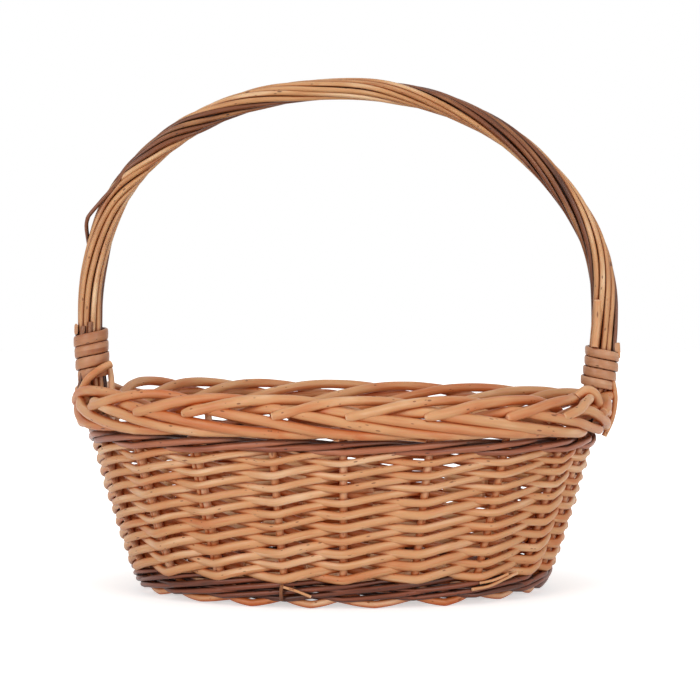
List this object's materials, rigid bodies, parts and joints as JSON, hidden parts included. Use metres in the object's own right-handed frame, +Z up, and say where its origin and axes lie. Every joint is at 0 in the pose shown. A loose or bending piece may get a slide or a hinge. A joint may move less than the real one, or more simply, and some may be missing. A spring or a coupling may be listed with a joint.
{
  "type": "mushroom foraging basket",
  "caption": "Oval willow basket with flared woven sides, a thick plaited rim, dark bands and one fixed hoop handle of twisted rods.",
  "frame": {"origin": "on the ground under the middle of the oval", "axes": "+X along the oval's length in the plane of the handle, +Y across it, +Z up"},
  "size_m": [0.4063, 0.2952, 0.3775],
  "materials": {
    "buff_willow": "boiled and peeled rod, satin",
    "handle_buff_willow": "boiled and peeled rod, satin",
    "brown_willow": "rod with its bark on, matt"
  },
  "bodies": {
    "root": {"base_cross_stick_1": "buff_willow", "base_cross_stick_2": "buff_willow", "base_cross_stick_3": "buff_willow", "base_cross_stick_4": "buff_willow", "base_cross_stick_5": "buff_willow", "base_long_stick_1": "buff_willow", "base_long_stick_2": "buff_willow", "base_long_stick_3": "buff_willow", "base_weave": "buff_willow", "binding_left": "buff_willow", "binding_right": "buff_willow", "foot_border": "buff_willow", "foot_wale": "brown_willow", "handle_bow": "brown_willow", "handle_rods_brown": "brown_willow", "handle_rods_buff_1": "handle_buff_willow", "handle_rods_buff_2": "handle_buff_willow", "rim_border": "buff_willow", "siding_weaver_01": "buff_willow", "siding_weaver_02": "buff_willow", "siding_weaver_03": "buff_willow", "siding_weaver_04": "buff_willow", "siding_weaver_05": "buff_willow", "siding_weaver_06": "buff_willow", "siding_weaver_07": "buff_willow", "siding_weaver_08": "buff_willow", "siding_weaver_09": "buff_willow", "siding_weaver_10": "buff_willow", "siding_weaver_11": "buff_willow", "siding_weaver_12": "buff_willow", "siding_weaver_13": "buff_willow", "siding_weaver_14": "buff_willow", "siding_weaver_15": "buff_willow", "siding_weaver_16": "buff_willow", "siding_weaver_17": "buff_willow", "siding_weaver_18": "buff_willow", "siding_weaver_19": "buff_willow", "siding_weaver_20": "buff_willow", "stake_01": "buff_willow", "stake_02": "buff_willow", "stake_03": "buff_willow", "stake_04": "buff_willow", "stake_05": "buff_willow", "stake_06": "buff_willow", "stake_07": "buff_willow", "stake_08": "buff_willow", "stake_09": "buff_willow", "stake_10": "buff_willow", "stake_11": "buff_willow", "stake_12": "buff_willow", "stake_13": "buff_willow", "stake_14": "buff_willow", "stake_15": "buff_willow", "stake_16": "buff_willow", "stake_17": "buff_willow", "stake_18": "buff_willow", "top_wale_weaver_1": "brown_willow", "top_wale_weaver_2": "brown_willow"}
  },
  "joints": []
}
